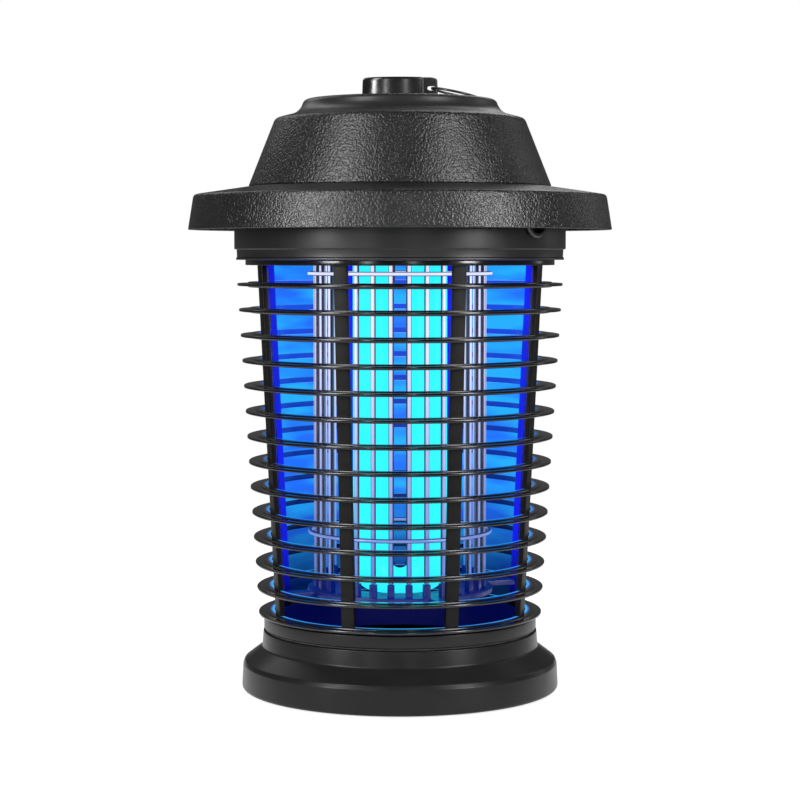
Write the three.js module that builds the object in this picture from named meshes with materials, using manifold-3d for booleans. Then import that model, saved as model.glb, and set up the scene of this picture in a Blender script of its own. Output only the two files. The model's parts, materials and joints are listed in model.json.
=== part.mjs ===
// Electric bug zapper in the shape of a garden lantern, in millimetres, +Z up.
// The origin is at the centre of the footprint, on the surface that the rubber feet stand on.
// From the top: hanging ring and lug, roof cap, upper housing with the electronics, a louvred
// guard cage round the high-voltage grid and the ultraviolet lamp, and the twist-off tray.

import * as THREE from 'three';
import { mergeVertices } from 'three/addons/utils/BufferGeometryUtils.js';
import Module from 'manifold-3d';

const wasm = await Module();
wasm.setup();

// ---------------------------------------------------------------- driving dimensions

const totalHeight = 318;
const gap = 0.3; // left between pieces that touch
const roundSides = 40; // sides of a large turned piece

const capTop = 306.7;
const capWall = 2.5;
const crownRadius = 49.7;
const shoulderRadius = 65.6;
const shoulderHeight = 294.9;
const domeFootRadius = 78.3;
const domeFootHeight = 262.2;
const brimTopRadius = 106.9;
const brimTopHeight = 257.5;
const brimRadius = 109.8;
const brimBottom = 239.5;

const housingRadius = 86;
const housingTop = 255.9;
const housingStep = 229.5;
const housingLowerRadius = 84.8;
const deckBottom = 224;
const deckThickness = 2.6;
const housingWall = 2.6;

const lugLength = 39.4;
const lugDepth = 19;
const eyeX = 16.6;
const eyeHeight = 312.6;
const ringRadius = 12;
const ringWire = 0.65;
const ringSlope = 11.8; // degrees below level, where the ring rests on the roof

const barCount = 8;
const firstBarAngle = 22.5;
const barWidth = 6.9;
const barThickness = 3;
const barTop = 221.4;
const barBottom = 38.7;
const barRadiusAtTop = 77.2;
const barRadiusAtBottom = 67.9;

const ringCount = 14;
const ringSides = 32;
const topRingHeight = 211.3;
const bottomRingHeight = 40.2;
const topRingRadius = 84.5;
const bottomRingRadius = 74.1;
const ringRimThickness = 1.4;
const ringRootThickness = 2.8;
const ringClearance = 0.8; // between a bar and a ring's flat-sided bore

const rodCount = 30;
const rodCircle = 43.7;
const rodRadius = 1.3;
const rodTop = 221.4;
const rodBottom = 60.3;
const hoopCircle = 47;
const hoopWire = 1.1;
const upperHoopHeight = 217;
const lowerHoopHeight = 82.6;

const lampLegSpacing = 29.2;
const lampTubeRadius = 10;
const lampTop = 223.4;
const lampBottom = 49.3;
const lampGapBottom = 62.5;
const lampWall = 1;

const trayRadius = 83;
const neckRadius = 71.8;
const neckTop = 31;
const neckBore = 69.2;
const spigotRadius = 66.6;
const threadStarts = 3;
const threadLead = 48; // travel in one full turn
const threadSpan = 24; // degrees that each thread lug covers
const threadHeight = 25.2;
const footCircle = 62;
const footRadius = 7;

const switchAngle = -39.3;
const switchHeight = 243.9;
const switchBore = 6.6;
const glandAngle = 90;
const glandHeight = 243;

// ---------------------------------------------------------------- materials

function plastic(colour, roughness) {
  return new THREE.MeshStandardMaterial({ color: colour, roughness, metalness: 0 });
}

function metal(colour, roughness) {
  return new THREE.MeshStandardMaterial({ color: colour, roughness, metalness: 1 });
}

const materials = {
  grainedBlack: plastic(0x202022, 0.45),
  satinBlack: plastic(0x2c2c2c, 0.4),
  guardBlack: plastic(0x141416, 0.3),
  rubber: plastic(0x151515, 0.9),
  wire: metal(0x18181a, 0.35),
  screwSteel: metal(0x9a9da0, 0.35),
  gridSteel: metal(0xd6d4e2, 0.2),
  lampGlass: new THREE.MeshStandardMaterial({ color: 0x24f5ff, roughness: 0.1, emissive: 0x24f5ff }),
  bluePane: new THREE.MeshStandardMaterial({ color: 0x2a7bff, roughness: 0.3, emissive: 0x123a99 }),
  whitePlastic: plastic(0xe8e8e4, 0.4),
  insulator: plastic(0x10122a, 0.35),
  boardGreen: plastic(0x1d5b3a, 0.5),
  component: plastic(0x23252b, 0.5),
  lead: plastic(0x8c1f1f, 0.5),
};

// ---------------------------------------------------------------- shape helpers

const radians = THREE.MathUtils.degToRad;
const point = (x, y) => new THREE.Vector2(x, y);
const closed = (points) => [...points, points[0].clone()];

function arc(x, y, radius, from, to, steps) {
  const points = [];
  for (let i = 0; i <= steps; i += 1) {
    const angle = radians(from + ((to - from) * i) / steps);
    points.push(point(x + radius * Math.cos(angle), y + radius * Math.sin(angle)));
  }
  return points;
}

function bend(start, control, end, steps) {
  return new THREE.QuadraticBezierCurve(start, control, end).getPoints(steps);
}

function triangles(geometry) {
  const plain = geometry.clone();
  for (const name of Object.keys(plain.attributes)) {
    if (name !== 'position') plain.deleteAttribute(name);
  }
  const merged = mergeVertices(plain, 1e-4);
  const index = [];
  for (let i = 0; i < merged.index.count; i += 3) {
    const [a, b, c] = [0, 1, 2].map((k) => merged.index.getX(i + k));
    if (a !== b && b !== c && c !== a) index.push(a, b, c);
  }
  merged.setIndex(index);
  return merged;
}

// Turns the faces of a closed geometry outwards, whichever way its outline was drawn.
function outward(geometry) {
  const clean = triangles(geometry);
  const [a, b, c] = [0, 1, 2].map(() => new THREE.Vector3());
  const { index } = clean;
  let volume = 0;
  for (let i = 0; i < index.count; i += 3) {
    [a, b, c].forEach((corner, k) => corner.fromBufferAttribute(clean.attributes.position, index.getX(i + k)));
    volume += a.dot(b.cross(c));
  }
  if (volume < 0) clean.setIndex([...index.array].reverse());
  return clean;
}

function turned(points, sides = roundSides) {
  return outward(new THREE.LatheGeometry(points, sides).rotateX(Math.PI / 2));
}

function extruded(shape, bottom, top, curveSegments = 6) {
  const options = { depth: top - bottom, bevelEnabled: false, curveSegments };
  return outward(new THREE.ExtrudeGeometry(shape, options).translate(0, 0, bottom));
}

function cylinder(radius, bottom, top, sides = 12) {
  const geometry = new THREE.CylinderGeometry(radius, radius, top - bottom, sides);
  return outward(geometry.rotateX(Math.PI / 2).translate(0, 0, (top + bottom) / 2));
}

function box(width, depth, bottom, top) {
  return outward(new THREE.BoxGeometry(width, depth, top - bottom).translate(0, 0, (top + bottom) / 2));
}

function stadium(length, width) {
  const half = (length - width) / 2;
  const radius = width / 2;
  const shape = new THREE.Shape();
  shape.absarc(half, 0, radius, -Math.PI / 2, Math.PI / 2);
  shape.absarc(-half, 0, radius, Math.PI / 2, (3 * Math.PI) / 2);
  return shape;
}

function tube(points, radius, steps) {
  const path = new THREE.CatmullRomCurve3(points.map((p) => new THREE.Vector3(...p)));
  const section = new THREE.Shape().absarc(0, 0, radius, 0, 2 * Math.PI);
  return outward(new THREE.ExtrudeGeometry(section, { extrudePath: path, steps, curveSegments: 4 }));
}

// Joins closed rings of points, given in order, into one closed body with flat ends.
function lofted(rings) {
  const sides = rings[0].length;
  const positions = rings.flat(2);
  const index = [];
  for (let i = 0; i < rings.length - 1; i += 1) {
    for (let j = 0; j < sides; j += 1) {
      const a = i * sides + j;
      const b = i * sides + ((j + 1) % sides);
      index.push(a, b, b + sides, a, b + sides, a + sides);
    }
  }
  const last = (rings.length - 1) * sides;
  for (let j = 1; j < sides - 1; j += 1) {
    index.push(0, j + 1, j, last, last + j, last + j + 1);
  }
  const geometry = new THREE.BufferGeometry();
  geometry.setAttribute('position', new THREE.Float32BufferAttribute(positions, 3));
  geometry.setIndex(index);
  return outward(geometry);
}

// Sweeps a section of [radius, height] corners round the Z axis, climbing by rise on the way.
function sweptRound(section, from, to, rise, steps) {
  const rings = [];
  for (let i = 0; i <= steps; i += 1) {
    const angle = radians(from + ((to - from) * i) / steps);
    const lift = rise * (i / steps - 0.5);
    rings.push(section.map(([r, z]) => [r * Math.cos(angle), r * Math.sin(angle), z + lift]));
  }
  return lofted(rings);
}

function solid(geometry) {
  const clean = triangles(geometry);
  const vertProperties = new Float32Array(clean.attributes.position.array);
  const triVerts = new Uint32Array(clean.index.array);
  return new wasm.Manifold(new wasm.Mesh({ numProp: 3, vertProperties, triVerts }));
}

function joined(geometries) {
  return geometries.map(solid).reduce((whole, piece) => whole.add(piece));
}

function shaped(manifold) {
  const mesh = manifold.getMesh();
  const geometry = new THREE.BufferGeometry();
  geometry.setAttribute('position', new THREE.Float32BufferAttribute(mesh.vertProperties, 3));
  geometry.setIndex([...mesh.triVerts]);
  return geometry;
}

// ---------------------------------------------------------------- scene graph

const zapper = new THREE.Group();

function piece(name, geometry, material, parent = zapper) {
  const display = geometry.clone();
  display.computeVertexNormals();
  const mesh = new THREE.Mesh(display, material);
  mesh.name = name;
  parent.add(mesh);
  return mesh;
}

// A group whose own +Z points away from the lantern's axis.
function radialGroup(angle, radius, height) {
  const turn = new THREE.Group();
  turn.rotation.z = radians(angle);
  const outwards = new THREE.Group();
  outwards.position.set(radius, 0, height);
  outwards.rotation.y = Math.PI / 2;
  turn.add(outwards);
  zapper.add(turn);
  return outwards;
}

function around(angle, radius, height) {
  return [radius * Math.cos(radians(angle)), radius * Math.sin(radians(angle)), height];
}

// Moves a radial cutter or boss to its place on the housing wall.
function facingOut(geometry, angle, radius, height) {
  return geometry.rotateY(Math.PI / 2).translate(radius, 0, height).rotateZ(radians(angle));
}

const capScrewAngles = [50, 170, 290];
const capScrewCircle = 66;
const capScrewRadius = 1.8;

// ---------------------------------------------------------------- roof

function roofCap() {
  const shankHole = 4.4;
  const rimRound = 2.2;
  const rimHeight = capTop - rimRound;
  const skirtInner = brimRadius - capWall;
  const spigotOuter = housingRadius - housingWall - 2 * gap;
  const spigotBottom = housingTop - 3.5;
  const brimSlope = (brimTopHeight - domeFootHeight) / (brimTopRadius - domeFootRadius);
  const brimUnderside = (r) => domeFootHeight - 3.2 + brimSlope * (r - domeFootRadius);
  const profile = [
    point(shankHole, capTop),
    ...arc(crownRadius - rimRound, rimHeight, rimRound, 90, 0, 3),
    ...bend(point(crownRadius, rimHeight - 0.4), point(51, 299.5), point(61.9, 297.4), 4),
    ...bend(point(62.4, 297.1), point(64.4, 296.8), point(shoulderRadius, shoulderHeight), 2),
    point(domeFootRadius, domeFootHeight),
    point(domeFootRadius + 1, domeFootHeight - 0.9),
    point(brimTopRadius - 1.4, brimTopHeight + 0.2),
    point(brimTopRadius + 0.2, brimTopHeight - 1.4),
    point(brimRadius, brimBottom),
    point(skirtInner, brimBottom),
    point(brimTopRadius - capWall, brimUnderside(brimTopRadius - capWall)),
    point(spigotOuter, brimUnderside(spigotOuter)),
    point(spigotOuter, spigotBottom),
    point(spigotOuter - 2.2, spigotBottom),
    point(spigotOuter - 2.2, brimUnderside(spigotOuter - 2.2)),
    point(domeFootRadius - capWall, domeFootHeight - 1.5),
    point(shoulderRadius - capWall - 0.2, shoulderHeight - 1),
    point(crownRadius - 0.6, rimHeight - 5),
    point(crownRadius - capWall, capTop - capWall),
    point(shankHole, capTop - capWall),
  ];
  const bossBottom = deckBottom + deckThickness + gap;
  const bossTop = 279;
  const bosses = capScrewAngles.map((angle) => (
    cylinder(4.5, bossBottom, bossTop, 8).translate(...around(angle, capScrewCircle, 0))));
  const holes = capScrewAngles.map((angle) => (
    cylinder(capScrewRadius + gap, bossBottom - 1, bossBottom + 18, 8).translate(...around(angle, capScrewCircle, 0))));
  return shaped(joined([turned(closed(profile)), ...bosses]).subtract(joined(holes)));
}

function capScrew() {
  const profile = [
    point(0, deckBottom - gap - 2.2),
    point(3, deckBottom - gap - 2.2),
    point(3.7, deckBottom - gap - 1.4),
    point(3.7, deckBottom - gap),
    point(capScrewRadius, deckBottom - gap),
    point(capScrewRadius, 242),
    point(0, 243.4),
  ];
  return turned(profile, 12);
}

function roof() {
  piece('roof_cap', roofCap(), materials.grainedBlack);
  const sealInner = housingRadius - 2.4;
  const seal = [
    point(housingRadius - 0.4, housingTop + gap),
    point(housingRadius - 0.4, housingTop + 1.1),
    point(sealInner, housingTop + 1.4),
    point(sealInner, housingTop + gap),
  ];
  piece('cap_seal', turned(closed(seal), ringSides), materials.rubber);
  capScrewAngles.forEach((angle, i) => {
    const screw = piece(`cap_screw_${i + 1}`, capScrew(), materials.screwSteel);
    screw.position.set(...around(angle, capScrewCircle, 0));
  });
}

// ---------------------------------------------------------------- hanger

// An oval lug on a shank. One end is thinned to a web, with the eye for the ring through it.
function hangerLug() {
  const half = lugLength / 2;
  const bottom = capTop + gap;
  const cornerRound = 2;
  const oval = turned([
    point(0, bottom),
    point(half, bottom),
    point(half - 0.4, totalHeight - cornerRound),
    point(half - 0.4 - cornerRound * 0.4, totalHeight - cornerRound * 0.3),
    point(half - 0.4 - cornerRound, totalHeight),
    point(0, totalHeight),
  ], 32).scale(1, lugDepth / lugLength, 1);
  const webHalf = 3.5;
  const webStart = 11;
  const scallop = (side) => (
    box(20, 20, bottom - 1, totalHeight + 1).translate(webStart + 10, side * (webHalf + 10), 0));
  const eye = extruded(stadium(4.6, 2.6), -10, 10).rotateX(Math.PI / 2).translate(eyeX - 0.2, 0, eyeHeight);
  const shank = cylinder(4, 290, bottom + 1, 16);
  const body = joined([oval, shank]);
  return shaped(body.subtract(joined([scallop(1), scallop(-1), eye])));
}

function hanger() {
  piece('hanger_lug', hangerLug(), materials.satinBlack);
  const pivot = new THREE.Group();
  pivot.position.set(eyeX, 0, eyeHeight);
  pivot.rotation.y = radians(ringSlope);
  zapper.add(pivot);
  const loop = triangles(new THREE.TorusGeometry(ringRadius, ringWire, 6, 28));
  piece('hanging_ring', loop, materials.wire, pivot).position.set(ringRadius, 0, 0);
  const nutTop = capTop - capWall - gap;
  const nut = solid(cylinder(7.5, nutTop - 6, nutTop, 6)).subtract(solid(cylinder(4.3, nutTop - 7, nutTop + 1, 16)));
  piece('hanger_nut', shaped(nut), materials.screwSteel);
}

// ---------------------------------------------------------------- upper housing

const postPlaces = [[40, 30], [-40, 30], [-40, -30], [40, -30]];
const boardBottom = 261.7;
const leadAngleA = 84; // the grid rods nearest the rear are at 84 and 96 degrees
const leadAngleB = 96;
const leadCircleA = 54;
const leadCircleB = 36.5;

function upperHousing() {
  const deckTop = deckBottom + deckThickness;
  const inner = housingRadius - housingWall;
  const shell = turned([
    point(0, deckBottom),
    point(housingLowerRadius + 0.3, deckBottom),
    point(housingLowerRadius + 0.3, deckBottom + 0.9),
    point(housingLowerRadius, deckBottom + 1.2),
    point(housingLowerRadius, housingStep - 0.2),
    point(housingRadius, housingStep),
    point(housingRadius, housingTop),
    point(inner, housingTop),
    point(inner, deckTop),
    point(0, deckTop),
  ]);
  const posts = postPlaces.map(([x, y]) => (
    cylinder(3.5, deckTop - 1, boardBottom - gap, 8).translate(x, y, 0)));
  const through = (radius, angle, circle) => (
    cylinder(radius, deckBottom - 1, deckTop + 1, 8).translate(...around(angle, circle, 0)));
  const cutters = [
    extruded(stadium(54.8, 23.8), deckBottom - 1, deckTop + 1),
    ...capScrewAngles.map((angle) => through(capScrewRadius + 0.4, angle, capScrewCircle)),
    through(2.2, leadAngleA, leadCircleA),
    through(2.2, leadAngleB, leadCircleB),
    facingOut(cylinder(switchBore + 1.4, -8, 8, 20), switchAngle, housingRadius, switchHeight),
    facingOut(cylinder(6.4, -8, 8, 16), glandAngle, housingRadius, glandHeight),
  ];
  return shaped(joined([shell, ...posts]).subtract(joined(cutters)));
}

// A sleeve with a flange outside the wall and a tapered neck, for the mains lead.
function cableGland() {
  const bore = 3.2;
  return turned(closed([
    point(bore, -8),
    point(6, -8),
    point(6, 0.7),
    point(8.5, 0.7),
    point(8.5, 3),
    point(6, 4.2),
    point(5, 13),
    point(bore, 13),
  ]), 16);
}

// The round switch body is a cup, open to the outside, with a bezel over the wall.
function switchFrame() {
  const barrel = switchBore + 0.9;
  const bezel = switchBore + 2.4;
  return turned([
    point(0, -16),
    point(barrel, -16),
    point(barrel, 0.7),
    point(bezel, 0.7),
    point(bezel, 1.8),
    point(bezel - 1, 2.6),
    point(switchBore, 2.6),
    point(switchBore, -9),
    point(0, -9),
  ], 20);
}

const rockerPivot = 83.6;
const rockerTilt = 10;

function powerRocker() {
  const side = new THREE.Shape([
    point(-4.7, 3.2),
    point(0, 2.3),
    point(4.7, 3.2),
    point(4.7, 1.2),
    point(2.4, -3),
    point(-2.4, -3),
    point(-4.7, 1.2),
  ]);
  const body = extruded(side, -3.1, 3.1).rotateX(Math.PI / 2);
  const pin = cylinder(1, gap - switchBore, switchBore - gap, 8).rotateX(Math.PI / 2);
  return shaped(joined([body, pin]));
}

function housing() {
  piece('upper_housing', upperHousing(), materials.satinBlack);
  piece('cable_gland', cableGland(), materials.rubber, radialGroup(glandAngle, housingRadius, glandHeight));
  const switchSeat = radialGroup(switchAngle, housingRadius, switchHeight);
  piece('switch_frame', switchFrame(), materials.guardBlack, switchSeat);
  const rockerSeat = radialGroup(switchAngle, rockerPivot, switchHeight);
  piece('power_rocker', powerRocker(), materials.satinBlack, rockerSeat).rotation.y = radians(rockerTilt);
}

// ---------------------------------------------------------------- electronics

function lampHolder() {
  const bottom = deckBottom + deckThickness + gap;
  const block = solid(extruded(stadium(60, 29), bottom, boardBottom - gap));
  const pocket = solid(extruded(stadium(54.8, 23.8), bottom - 1, 238.3));
  return shaped(block.subtract(pocket));
}

function transformer() {
  const core = box(34, 12, 0, 28);
  const winding = box(22, 28, 3, 25);
  return shaped(joined([core, winding]));
}

function electronics() {
  const boardTop = boardBottom + 1.6;
  piece('circuit_board', box(92, 72, boardBottom, boardTop), materials.boardGreen);
  const seat = new THREE.Group();
  seat.position.z = boardTop + gap;
  zapper.add(seat);
  piece('hv_transformer', transformer(), materials.component, seat).position.set(-22, 10, 0);
  piece('reservoir_capacitor', cylinder(9, 0, 30, 16), materials.component, seat).position.set(24, 10, 0);
  piece('hv_capacitor', box(26, 10, 0, 18), materials.component, seat).position.set(16, -18, 0);
  piece('lamp_holder', lampHolder(), materials.whitePlastic);

  const leadRadius = 1.3;
  const boardEdge = 36;
  const hoopSide = hoopCircle + hoopWire + leadRadius + gap;
  const [ax, ay] = around(leadAngleA, leadCircleA, 0);
  const leadA = tube([
    [ax, boardEdge + 1, boardTop],
    [ax, ay - 6, boardTop - 2],
    [ax, ay, boardTop - 14],
    [ax, ay, deckBottom - 3],
    around(leadAngleA, leadCircleA - 1, upperHoopHeight),
    around(leadAngleA, hoopSide, upperHoopHeight - 1.4),
  ], leadRadius, 16);
  piece('hv_lead_a', leadA, materials.lead);
  const [bx, by] = around(leadAngleB, leadCircleB, 0);
  const rodSide = rodCircle - rodRadius - leadRadius - gap;
  const leadB = tube([
    [bx, by - 5, boardBottom - 1],
    [bx, by - 5, boardBottom - 6],
    [bx, by, boardBottom - 20],
    [bx, by, deckBottom - 2],
    around(leadAngleB, leadCircleB + 1, upperHoopHeight - 2),
    around(leadAngleB, rodSide, upperHoopHeight - 6),
  ], leadRadius, 16);
  piece('hv_lead_b', leadB, materials.lead);
  const mains = tube([
    [0, housingRadius + 10, glandHeight],
    [0, 74, glandHeight],
    [-6, 62, glandHeight + 4],
    [-16, 48, boardTop - 6],
    [-20, 38, boardTop + 9],
    [-20, 32, boardTop + 7],
    [-20, 32, boardTop + 1],
  ], 2.4, 16);
  piece('mains_lead', mains, materials.rubber);
  const switchLead = tube([
    around(switchAngle, housingRadius - 16 - gap, switchHeight),
    around(switchAngle, housingRadius - 22, switchHeight),
    [54, -30, boardBottom - 8],
    [53, -22, boardTop + 6],
    [40, -14, boardTop + 8],
    [40, -14, boardTop + 1],
  ], 1.6, 14);
  piece('switch_lead', switchLead, materials.lead);
}

// ---------------------------------------------------------------- lamp

// One half turn of the bent tube. Each station joins a point of the round inner gap to a point
// of the squarer outer outline, and the tube's oval section stands between the two.
function lampBody(inset, top) {
  const gapHalf = (lampLegSpacing - 2 * lampTubeRadius) / 2;
  const centre = lampGapBottom + gapHalf;
  const outerHalf = lampLegSpacing / 2 + lampTubeRadius;
  const depth = centre - lampBottom;
  const squareness = 2 / 3;
  const steps = 12;
  const sides = 14;
  const soft = (value) => Math.sign(value) * Math.abs(value) ** squareness;
  const ring = (innerX, innerZ, outerX, outerZ) => {
    const across = point(outerX - innerX, outerZ - innerZ);
    const reach = across.length() / 2 - inset;
    across.normalize();
    const middle = point((innerX + outerX) / 2, (innerZ + outerZ) / 2);
    return Array.from({ length: sides }, (_, j) => {
      const angle = (2 * Math.PI * j) / sides;
      const out = reach * Math.cos(angle);
      return [
        middle.x + across.x * out,
        (lampTubeRadius - inset) * Math.sin(angle),
        middle.y + across.y * out,
      ];
    });
  };
  const rings = [ring(gapHalf, top, outerHalf, top)];
  for (let i = 0; i <= steps; i += 1) {
    const angle = (Math.PI * i) / steps;
    const [c, s] = [Math.cos(angle), Math.sin(angle)];
    rings.push(ring(gapHalf * c, centre - gapHalf * s, outerHalf * soft(c), centre - depth * soft(s)));
  }
  rings.push(ring(-gapHalf, top, -outerHalf, top));
  return lofted(rings);
}

function lamp() {
  const hollow = solid(lampBody(0, lampTop)).subtract(solid(lampBody(lampWall, lampTop + 1)));
  piece('uv_lamp', shaped(hollow), materials.lampGlass);
  const base = extruded(stadium(54, 23), lampTop + gap, 238);
  piece('lamp_base', base, materials.whitePlastic);
}

// ---------------------------------------------------------------- high-voltage grid

const rodAngle = (i) => radians((360 / rodCount) * (i + 0.5) - 90);

// Every second rod belongs to one electrode, and small tabs weld those rods to its hoop.
function electrode(firstRod, hoopHeight) {
  const hoop = new THREE.TorusGeometry(hoopCircle, hoopWire, 6, ringSides).translate(0, 0, hoopHeight);
  const parts = [outward(hoop)];
  const tabLength = hoopCircle - rodCircle;
  for (let i = firstRod; i < rodCount; i += 2) {
    const angle = rodAngle(i);
    const rod = cylinder(rodRadius, rodBottom, rodTop, 8).translate(rodCircle, 0, 0);
    const tab = box(tabLength, 1.4, hoopHeight - 0.7, hoopHeight + 0.7).translate(rodCircle + tabLength / 2, 0, 0);
    parts.push(rod.rotateZ(angle), tab.rotateZ(angle));
  }
  return shaped(joined(parts));
}

function flatRing(inner, outer, bottom, top, sides = ringSides) {
  return turned(closed([point(inner, bottom), point(outer, bottom), point(outer, top), point(inner, top)]), sides);
}

// The lower insulator hangs the rods' ends in the cage: a socket stands under each rod, and
// four arms reach out to the bars.
function lowerInsulator() {
  const plateTop = 53.5;
  const plateBottom = 50.5;
  const socketSize = 3.4;
  const armFrom = 44;
  const armTo = 65;
  const arms = [0, 1, 2, 3].map((i) => (
    box(armTo - armFrom, 8, plateBottom, plateTop).translate((armTo + armFrom) / 2, 0, 0)
      .rotateZ(radians(firstBarAngle + 90 * i))));
  const sockets = Array.from({ length: rodCount }, (_, i) => (
    box(socketSize, socketSize, plateTop - 0.5, rodBottom - gap).translate(rodCircle, 0, 0)
      .rotateZ(rodAngle(i))));
  return shaped(joined([flatRing(27.5, 48.5, plateBottom, plateTop), ...arms, ...sockets]));
}

function grid() {
  piece('grid_electrode_a', electrode(0, upperHoopHeight), materials.gridSteel);
  piece('grid_electrode_b', electrode(1, lowerHoopHeight), materials.gridSteel);
  piece('upper_insulator', flatRing(39, 51, rodTop + gap, deckBottom - gap), materials.insulator);
  piece('lower_insulator', lowerInsulator(), materials.insulator);
}

// ---------------------------------------------------------------- guard cage

const barRadius = (height) => (
  barRadiusAtBottom + ((barRadiusAtTop - barRadiusAtBottom) * (height - barBottom)) / (barTop - barBottom));

function guardBar() {
  const side = new THREE.Shape([
    point(barRadiusAtBottom - barThickness, barBottom),
    point(barRadiusAtBottom, barBottom),
    point(barRadiusAtTop, barTop),
    point(barRadiusAtTop - barThickness, barTop),
  ]);
  return extruded(side, -barWidth / 2, barWidth / 2).rotateX(Math.PI / 2);
}

// A louvre ring is thick where it meets the bars and thins to its outer rim.
function guardRing(inner, outer) {
  const root = ringRootThickness / 2;
  const rim = ringRimThickness / 2;
  return turned(closed([point(inner, -root), point(outer, -rim), point(outer, rim), point(inner, root)]), ringSides);
}

// A curved blue pane fills the opening between two neighbouring bars at the rear.
function rearPane(from) {
  const barHalfAngle = 3.7;
  const bottom = bottomRingHeight + 1.2;
  const top = barTop - 0.8;
  const section = [
    [barRadius(bottom) - 1.9, bottom],
    [barRadius(bottom) - 1, bottom],
    [barRadius(top) - 1, top],
    [barRadius(top) - 1.9, top],
  ];
  return sweptRound(section, from + barHalfAngle, from + 360 / barCount - barHalfAngle, 0, 6);
}

function threadLug(inner, outer, height, angle) {
  const section = [[inner, height - 1], [outer, height - 1], [outer, height + 1], [inner, height + 1]];
  const rise = (threadLead * threadSpan) / 360;
  return sweptRound(section, angle - threadSpan / 2, angle + threadSpan / 2, rise, 4);
}

const threadAngles = Array.from({ length: threadStarts }, (_, i) => 30 + (360 / threadStarts) * i);

function bottomBand() {
  const bandTop = barBottom - gap;
  const bandBottom = neckTop + 1.3;
  const ring = turned(closed([
    point(spigotRadius - 2, 21.5),
    point(spigotRadius, 21.5),
    point(spigotRadius, bandBottom),
    point(neckRadius - 0.5, bandBottom),
    point(neckRadius - 0.5, bandTop),
    point(spigotRadius - 2, bandTop),
  ]));
  const lugs = threadAngles.map((angle) => threadLug(spigotRadius - 1, spigotRadius + 2, threadHeight, angle));
  return shaped(joined([ring, ...lugs]));
}

function cage() {
  piece('cage_top_ring', flatRing(74.2, 80.3, barTop + gap, deckBottom - gap), materials.guardBlack);
  piece('cage_bottom_band', bottomBand(), materials.satinBlack);
  for (let i = 0; i < ringCount; i += 1) {
    const share = i / (ringCount - 1);
    const height = THREE.MathUtils.lerp(topRingHeight, bottomRingHeight, share);
    const outer = THREE.MathUtils.lerp(topRingRadius, bottomRingRadius, share);
    const inner = barRadius(height) + ringClearance;
    const name = `guard_ring_${String(i + 1).padStart(2, '0')}`;
    piece(name, guardRing(inner, outer), materials.guardBlack).position.z = height;
  }
  for (let i = 0; i < barCount; i += 1) {
    const bar = piece(`guard_bar_${i + 1}`, guardBar(), materials.guardBlack);
    bar.rotation.z = radians(firstBarAngle + (360 / barCount) * i);
  }
  [0, 1, 2].forEach((i) => {
    piece(`rear_pane_${i + 1}`, rearPane(firstBarAngle + (360 / barCount) * i), materials.bluePane);
  });
}

// ---------------------------------------------------------------- tray and feet

function collectionTray() {
  const floor = 5.5;
  const underside = 2.5;
  const cup = turned([
    point(0, underside),
    point(74, underside),
    point(74.5, 0.6),
    ...arc(trayRadius - 2.4, 3, 2.4, -90, 0, 3),
    point(82.2, 13.6),
    point(81.3, 15.8),
    point(72.2, 22.8),
    point(neckRadius - 0.2, neckTop),
    point(neckBore, neckTop),
    point(neckBore, 22),
    point(78.4, 14.8),
    point(79.8, floor + 2),
    point(77.8, floor),
    point(0, floor),
  ]);
  const hookHeight = threadHeight + 2.4;
  const hooks = threadAngles.map((angle) => threadLug(neckBore - 2.2, neckBore + 1, hookHeight, angle));
  return shaped(joined([cup, ...hooks]));
}

function tray() {
  piece('collection_tray', collectionTray(), materials.satinBlack);
  piece('tray_seal', flatRing(neckBore + 0.3, neckRadius - 0.9, neckTop + gap, neckTop + 1), materials.rubber);
  for (let i = 0; i < 4; i += 1) {
    const foot = piece(`rubber_foot_${i + 1}`, cylinder(footRadius, 0, 2.2, 16), materials.rubber);
    foot.position.set(...around(45 + 90 * i, footCircle, 0));
  }
}

roof();
hanger();
housing();
electronics();
lamp();
grid();
cage();
tray();

export default zapper;
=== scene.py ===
"""Finished looks of the lantern-shaped bug zapper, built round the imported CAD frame.

Shapes are worked out in millimetres, and each mesh is scaled to metres when it is made.
"""

import json
from math import cos, pi, radians, sin

import bmesh
import bpy
from mathutils import Matrix, Vector


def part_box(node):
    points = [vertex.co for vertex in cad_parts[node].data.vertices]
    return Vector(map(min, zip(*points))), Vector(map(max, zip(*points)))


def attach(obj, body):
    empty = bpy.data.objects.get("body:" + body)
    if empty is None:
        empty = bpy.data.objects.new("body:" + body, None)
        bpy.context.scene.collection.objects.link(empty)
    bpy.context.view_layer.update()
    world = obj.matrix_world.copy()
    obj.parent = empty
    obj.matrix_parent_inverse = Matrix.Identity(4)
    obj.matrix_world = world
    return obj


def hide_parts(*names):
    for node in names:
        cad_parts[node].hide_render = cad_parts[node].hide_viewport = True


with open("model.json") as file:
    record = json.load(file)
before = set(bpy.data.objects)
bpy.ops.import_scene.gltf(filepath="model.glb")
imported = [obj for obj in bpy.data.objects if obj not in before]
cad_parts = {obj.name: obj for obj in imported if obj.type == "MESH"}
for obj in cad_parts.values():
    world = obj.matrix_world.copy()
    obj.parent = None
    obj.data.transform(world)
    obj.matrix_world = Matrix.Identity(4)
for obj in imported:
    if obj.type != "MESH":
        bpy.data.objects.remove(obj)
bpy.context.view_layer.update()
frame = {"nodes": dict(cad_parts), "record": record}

# ---------------------------------------------------------------- sizes shared with the CAD, in mm

MM = 0.001
ROUND = 112  # segments round a large turned piece

CAP_TOP = 306.7
DOME_FOOT = (78.3, 262.2)
BRIM_TOP = (106.9, 257.5)
BRIM_BOTTOM = (109.8, 239.5)

HOUSING_RADIUS = 86
HOUSING_TOP = 255.9
DECK_BOTTOM = 224
DECK_TOP = 226.6

EYE = (16.6, 0, 312.6)
RING_RADIUS = 12
RING_WIRE = 0.65
RING_SLOPE = 11.8

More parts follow.
